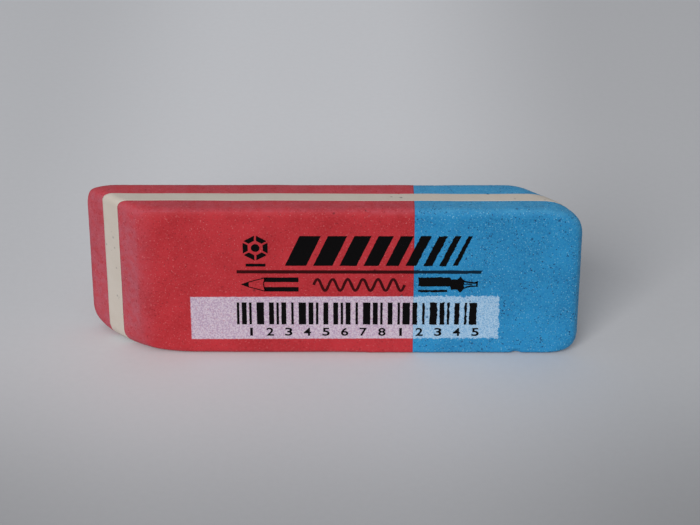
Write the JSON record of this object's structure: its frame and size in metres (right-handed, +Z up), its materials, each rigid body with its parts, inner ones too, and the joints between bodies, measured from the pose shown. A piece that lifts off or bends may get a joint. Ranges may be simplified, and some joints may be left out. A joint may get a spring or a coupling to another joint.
{
  "type": "rubber eraser",
  "caption": "Slanted block eraser with a soft red pencil end, a gritty blue ink end and a cream core, standing on its long narrow edge.",
  "frame": {"origin": "centre of the block's box on the surface that it stands on", "axes": "+X along the length, from the red end to the blue end; +Y through the thickness, from the printed front face to the back; +Z up along the height"},
  "size_m": [0.0552, 0.0076, 0.018],
  "materials": {
    "red_rubber": "matt, fine-grained soft rubber",
    "blue_rubber": "matt, gritty abrasive rubber",
    "cream_rubber": "matt, smooth rubber",
    "black_print": "thin matt printing ink"
  },
  "bodies": {
    "root": {"front_pencil_layer": "red_rubber", "front_ink_layer": "blue_rubber", "core_layer": "cream_rubber", "back_pencil_layer": "red_rubber", "back_ink_layer": "blue_rubber"}
  },
  "joints": []
}
